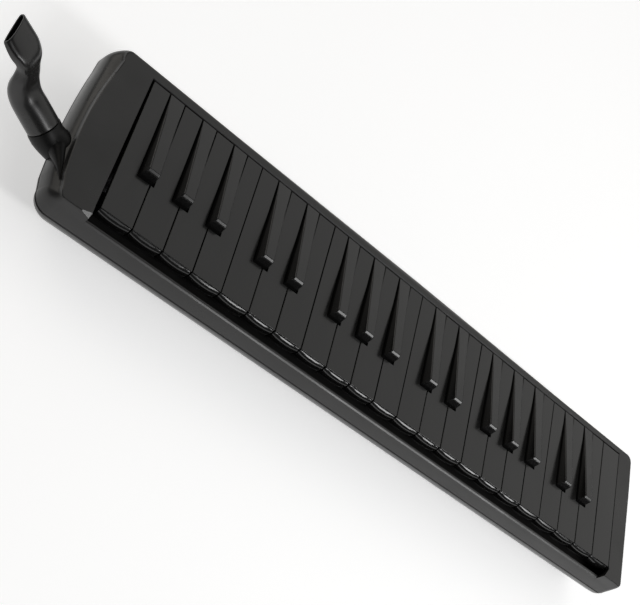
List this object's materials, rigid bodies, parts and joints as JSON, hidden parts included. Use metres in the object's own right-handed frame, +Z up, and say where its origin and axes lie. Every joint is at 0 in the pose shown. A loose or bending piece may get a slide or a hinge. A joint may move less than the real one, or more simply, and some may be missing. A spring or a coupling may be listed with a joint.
{
  "type": "melodica",
  "caption": "Long flat keyboard wind instrument: a moulded case with rocking piano keys, free reeds over an air chamber, and a curved blow mouthpiece.",
  "frame": {"origin": "the middle of the whole object's box, on the plane the feet stand on", "axes": "+X along the keyboard to the treble end, +Y from the player's edge of the keys to the back, +Z up"},
  "size_m": [0.5294, 0.1058, 0.0667],
  "materials": {
    "case_black": "semi-matte moulded ABS, finely grained",
    "key_black": "semi-matte moulded ABS, smooth",
    "sharp_black": "semi-matte moulded ABS, smooth",
    "pipe_black": "moulded ABS with a soft gloss",
    "inner_grey": "plain moulded plastic",
    "felt_dark": "pressed dark felt",
    "rubber_black": "matt soft rubber",
    "webbing_black": "woven nylon webbing",
    "reed_brass": "satin brass plate",
    "spring_steel": "bright drawn steel"
  },
  "bodies": {
    "case": {"upper_case": "case_black", "lower_case": "case_black", "inlet_socket": "pipe_black", "foot_front_left": "rubber_black", "foot_front_right": "rubber_black", "foot_back_left": "rubber_black", "foot_back_right": "rubber_black", "hand_strap": "webbing_black", "key_rod": "spring_steel", "key_frame": "case_black", "spring_comb": "spring_steel", "key_stop_felt": "felt_dark", "valve_board": "inner_grey", "chamber_gasket": "rubber_black", "reed_plate_low": "reed_brass", "reed_plate_high": "reed_brass", "air_chamber": "inner_grey", "drain_spring": "spring_steel"},
    "key_f3": {"key_f3": "key_black"},
    "key_fs3": {"key_fs3": "sharp_black"},
    "key_g3": {"key_g3": "key_black"},
    "key_gs3": {"key_gs3": "sharp_black"},
    "key_a3": {"key_a3": "key_black"},
    "key_as3": {"key_as3": "sharp_black"},
    "key_b3": {"key_b3": "key_black"},
    "key_c4": {"key_c4": "key_black"},
    "key_cs4": {"key_cs4": "sharp_black"},
    "key_d4": {"key_d4": "key_black"},
    "key_ds4": {"key_ds4": "sharp_black"},
    "key_e4": {"key_e4": "key_black"},
    "key_f4": {"key_f4": "key_black"},
    "key_fs4": {"key_fs4": "sharp_black"},
    "key_g4": {"key_g4": "key_black"},
    "key_gs4": {"key_gs4": "sharp_black"},
    "key_a4": {"key_a4": "key_black"},
    "key_as4": {"key_as4": "sharp_black"},
    "key_b4": {"key_b4": "key_black"},
    "key_c5": {"key_c5": "key_black"},
    "key_cs5": {"key_cs5": "sharp_black"},
    "key_d5": {"key_d5": "key_black"},
    "key_ds5": {"key_ds5": "sharp_black"},
    "key_e5": {"key_e5": "key_black"},
    "key_f5": {"key_f5": "key_black"},
    "key_fs5": {"key_fs5": "sharp_black"},
    "key_g5": {"key_g5": "key_black"},
    "key_gs5": {"key_gs5": "sharp_black"},
    "key_a5": {"key_a5": "key_black"},
    "key_as5": {"key_as5": "sharp_black"},
    "key_b5": {"key_b5": "key_black"},
    "key_c6": {"key_c6": "key_black"},
    "key_cs6": {"key_cs6": "sharp_black"},
    "key_d6": {"key_d6": "key_black"},
    "key_ds6": {"key_ds6": "sharp_black"},
    "key_e6": {"key_e6": "key_black"},
    "key_f6": {"key_f6": "key_black"},
    "mouthpiece_swivel": {"mouthpiece_seal": "rubber_black"},
    "mouthpiece": {"mouthpiece": "pipe_black"},
    "drain": {"drain_button": "case_black", "drain_seal": "rubber_black"}
  },
  "joints": [
    {"name": "mouthpiece_turn", "type": "hinge", "parent": "case", "child": "mouthpiece_swivel", "pos_m": [-0.22271, -0.01605, 0.032], "axis": [-0.9077, 0.2329, 0.3489], "continuous": true},
    {"name": "mouthpiece_pull", "type": "slide", "parent": "mouthpiece_swivel", "child": "mouthpiece", "axis": [-0.9077, 0.2329, 0.3489], "range_m": [0, 0.02]},
    {"name": "drain_push", "type": "slide", "parent": "case", "child": "drain", "axis": [-1, 0, 0], "range_m": [0, 0.003], "stiffness_N_per_m": 300, "springref_m": -0.002, "deforming": ["drain_spring"]},
    {"name": "key_f3_rock", "type": "hinge", "parent": "case", "child": "key_f3", "pos_m": [-0.17416, 0.02105, 0.032], "axis": [1, 0, 0], "range_deg": [0, 4.15], "stiffness_Nm_per_rad": 0.15, "springref_deg": -8.59},
    {"name": "key_fs3_rock", "type": "hinge", "parent": "case", "child": "key_fs3", "pos_m": [-0.16761, 0.02105, 0.032], "axis": [1, 0, 0], "range_deg": [0, 4.15], "stiffness_Nm_per_rad": 0.15, "springref_deg": -8.59},
    {"name": "key_g3_rock", "type": "hinge", "parent": "case", "child": "key_g3", "pos_m": [-0.15466, 0.02105, 0.032], "axis": [1, 0, 0], "range_deg": [0, 4.15], "stiffness_Nm_per_rad": 0.15, "springref_deg": -8.59},
    {"name": "key_gs3_rock", "type": "hinge", "parent": "case", "child": "key_gs3", "pos_m": [-0.14501, 0.02105, 0.032], "axis": [1, 0, 0], "range_deg": [0, 4.15], "stiffness_Nm_per_rad": 0.15, "springref_deg": -8.59},
    {"name": "key_a3_rock", "type": "hinge", "parent": "case", "child": "key_a3", "pos_m": [-0.13516, 0.02105, 0.032], "axis": [1, 0, 0], "range_deg": [0, 4.15], "stiffness_Nm_per_rad": 0.15, "springref_deg": -8.59},
    {"name": "key_as3_rock", "type": "hinge", "parent": "case", "child": "key_as3", "pos_m": [-0.12231, 0.02105, 0.032], "axis": [1, 0, 0], "range_deg": [0, 4.15], "stiffness_Nm_per_rad": 0.15, "springref_deg": -8.59},
    {"name": "key_b3_rock", "type": "hinge", "parent": "case", "child": "key_b3", "pos_m": [-0.11566, 0.02105, 0.032], "axis": [1, 0, 0], "range_deg": [0, 4.15], "stiffness_Nm_per_rad": 0.15, "springref_deg": -8.59},
    {"name": "key_c4_rock", "type": "hinge", "parent": "case", "child": "key_c4", "pos_m": [-0.09616, 0.02105, 0.032], "axis": [1, 0, 0], "range_deg": [0, 4.15], "stiffness_Nm_per_rad": 0.15, "springref_deg": -8.59},
    {"name": "key_cs4_rock", "type": "hinge", "parent": "case", "child": "key_cs4", "pos_m": [-0.08821, 0.02105, 0.032], "axis": [1, 0, 0], "range_deg": [0, 4.15], "stiffness_Nm_per_rad": 0.15, "springref_deg": -8.59},
    {"name": "key_d4_rock", "type": "hinge", "parent": "case", "child": "key_d4", "pos_m": [-0.07666, 0.02105, 0.032], "axis": [1, 0, 0], "range_deg": [0, 4.15], "stiffness_Nm_per_rad": 0.15, "springref_deg": -8.59},
    {"name": "key_ds4_rock", "type": "hinge", "parent": "case", "child": "key_ds4", "pos_m": [-0.06551, 0.02105, 0.032], "axis": [1, 0, 0], "range_deg": [0, 4.15], "stiffness_Nm_per_rad": 0.15, "springref_deg": -8.59},
    {"name": "key_e4_rock", "type": "hinge", "parent": "case", "child": "key_e4", "pos_m": [-0.05716, 0.02105, 0.032], "axis": [1, 0, 0], "range_deg": [0, 4.15], "stiffness_Nm_per_rad": 0.15, "springref_deg": -8.59},
    {"name": "key_f4_rock", "type": "hinge", "parent": "case", "child": "key_f4", "pos_m": [-0.03766, 0.02105, 0.032], "axis": [1, 0, 0], "range_deg": [0, 4.15], "stiffness_Nm_per_rad": 0.15, "springref_deg": -8.59},
    {"name": "key_fs4_rock", "type": "hinge", "parent": "case", "child": "key_fs4", "pos_m": [-0.03111, 0.02105, 0.032], "axis": [1, 0, 0], "range_deg": [0, 4.15], "stiffness_Nm_per_rad": 0.15, "springref_deg": -8.59},
    {"name": "key_g4_rock", "type": "hinge", "parent": "case", "child": "key_g4", "pos_m": [-0.01816, 0.02105, 0.032], "axis": [1, 0, 0], "range_deg": [0, 4.15], "stiffness_Nm_per_rad": 0.15, "springref_deg": -8.59},
    {"name": "key_gs4_rock", "type": "hinge", "parent": "case", "child": "key_gs4", "pos_m": [-0.00851, 0.02105, 0.032], "axis": [1, 0, 0], "range_deg": [0, 4.15], "stiffness_Nm_per_rad": 0.15, "springref_deg": -8.59},
    {"name": "key_a4_rock", "type": "hinge", "parent": "case", "child": "key_a4", "pos_m": [0.00134, 0.02105, 0.032], "axis": [1, 0, 0], "range_deg": [0, 4.15], "stiffness_Nm_per_rad": 0.15, "springref_deg": -8.59},
    {"name": "key_as4_rock", "type": "hinge", "parent": "case", "child": "key_as4", "pos_m": [0.01419, 0.02105, 0.032], "axis": [1, 0, 0], "range_deg": [0, 4.15], "stiffness_Nm_per_rad": 0.15, "springref_deg": -8.59},
    {"name": "key_b4_rock", "type": "hinge", "parent": "case", "child": "key_b4", "pos_m": [0.02084, 0.02105, 0.032], "axis": [1, 0, 0], "range_deg": [0, 4.15], "stiffness_Nm_per_rad": 0.15, "springref_deg": -8.59},
    {"name": "key_c5_rock", "type": "hinge", "parent": "case", "child": "key_c5", "pos_m": [0.04034, 0.02105, 0.032], "axis": [1, 0, 0], "range_deg": [0, 4.15], "stiffness_Nm_per_rad": 0.15, "springref_deg": -8.59},
    {"name": "key_cs5_rock", "type": "hinge", "parent": "case", "child": "key_cs5", "pos_m": [0.04829, 0.02105, 0.032], "axis": [1, 0, 0], "range_deg": [0, 4.15], "stiffness_Nm_per_rad": 0.15, "springref_deg": -8.59},
    {"name": "key_d5_rock", "type": "hinge", "parent": "case", "child": "key_d5", "pos_m": [0.05984, 0.02105, 0.032], "axis": [1, 0, 0], "range_deg": [0, 4.15], "stiffness_Nm_per_rad": 0.15, "springref_deg": -8.59},
    {"name": "key_ds5_rock", "type": "hinge", "parent": "case", "child": "key_ds5", "pos_m": [0.07099, 0.02105, 0.032], "axis": [1, 0, 0], "range_deg": [0, 4.15], "stiffness_Nm_per_rad": 0.15, "springref_deg": -8.59},
    {"name": "key_e5_rock", "type": "hinge", "parent": "case", "child": "key_e5", "pos_m": [0.07934, 0.02105, 0.032], "axis": [1, 0, 0], "range_deg": [0, 4.15], "stiffness_Nm_per_rad": 0.15, "springref_deg": -8.59},
    {"name": "key_f5_rock", "type": "hinge", "parent": "case", "child": "key_f5", "pos_m": [0.09884, 0.02105, 0.032], "axis": [1, 0, 0], "range_deg": [0, 4.15], "stiffness_Nm_per_rad": 0.15, "springref_deg": -8.59},
    {"name": "key_fs5_rock", "type": "hinge", "parent": "case", "child": "key_fs5", "pos_m": [0.10539, 0.02105, 0.032], "axis": [1, 0, 0], "range_deg": [0, 4.15], "stiffness_Nm_per_rad": 0.15, "springref_deg": -8.59},
    {"name": "key_g5_rock", "type": "hinge", "parent": "case", "child": "key_g5", "pos_m": [0.11834, 0.02105, 0.032], "axis": [1, 0, 0], "range_deg": [0, 4.15], "stiffness_Nm_per_rad": 0.15, "springref_deg": -8.59},
    {"name": "key_gs5_rock", "type": "hinge", "parent": "case", "child": "key_gs5", "pos_m": [0.12799, 0.02105, 0.032], "axis": [1, 0, 0], "range_deg": [0, 4.15], "stiffness_Nm_per_rad": 0.15, "springref_deg": -8.59},
    {"name": "key_a5_rock", "type": "hinge", "parent": "case", "child": "key_a5", "pos_m": [0.13784, 0.02105, 0.032], "axis": [1, 0, 0], "range_deg": [0, 4.15], "stiffness_Nm_per_rad": 0.15, "springref_deg": -8.59},
    {"name": "key_as5_rock", "type": "hinge", "parent": "case", "child": "key_as5", "pos_m": [0.15069, 0.02105, 0.032], "axis": [1, 0, 0], "range_deg": [0, 4.15], "stiffness_Nm_per_rad": 0.15, "springref_deg": -8.59},
    {"name": "key_b5_rock", "type": "hinge", "parent": "case", "child": "key_b5", "pos_m": [0.15734, 0.02105, 0.032], "axis": [1, 0, 0], "range_deg": [0, 4.15], "stiffness_Nm_per_rad": 0.15, "springref_deg": -8.59},
    {"name": "key_c6_rock", "type": "hinge", "parent": "case", "child": "key_c6", "pos_m": [0.17684, 0.02105, 0.032], "axis": [1, 0, 0], "range_deg": [0, 4.15], "stiffness_Nm_per_rad": 0.15, "springref_deg": -8.59},
    {"name": "key_cs6_rock", "type": "hinge", "parent": "case", "child": "key_cs6", "pos_m": [0.18479, 0.02105, 0.032], "axis": [1, 0, 0], "range_deg": [0, 4.15], "stiffness_Nm_per_rad": 0.15, "springref_deg": -8.59},
    {"name": "key_d6_rock", "type": "hinge", "parent": "case", "child": "key_d6", "pos_m": [0.19634, 0.02105, 0.032], "axis": [1, 0, 0], "range_deg": [0, 4.15], "stiffness_Nm_per_rad": 0.15, "springref_deg": -8.59},
    {"name": "key_ds6_rock", "type": "hinge", "parent": "case", "child": "key_ds6", "pos_m": [0.20749, 0.02105, 0.032], "axis": [1, 0, 0], "range_deg": [0, 4.15], "stiffness_Nm_per_rad": 0.15, "springref_deg": -8.59},
    {"name": "key_e6_rock", "type": "hinge", "parent": "case", "child": "key_e6", "pos_m": [0.21584, 0.02105, 0.032], "axis": [1, 0, 0], "range_deg": [0, 4.15], "stiffness_Nm_per_rad": 0.15, "springref_deg": -8.59},
    {"name": "key_f6_rock", "type": "hinge", "parent": "case", "child": "key_f6", "pos_m": [0.23534, 0.02105, 0.032], "axis": [1, 0, 0], "range_deg": [0, 4.15], "stiffness_Nm_per_rad": 0.15, "springref_deg": -8.59}
  ]
}
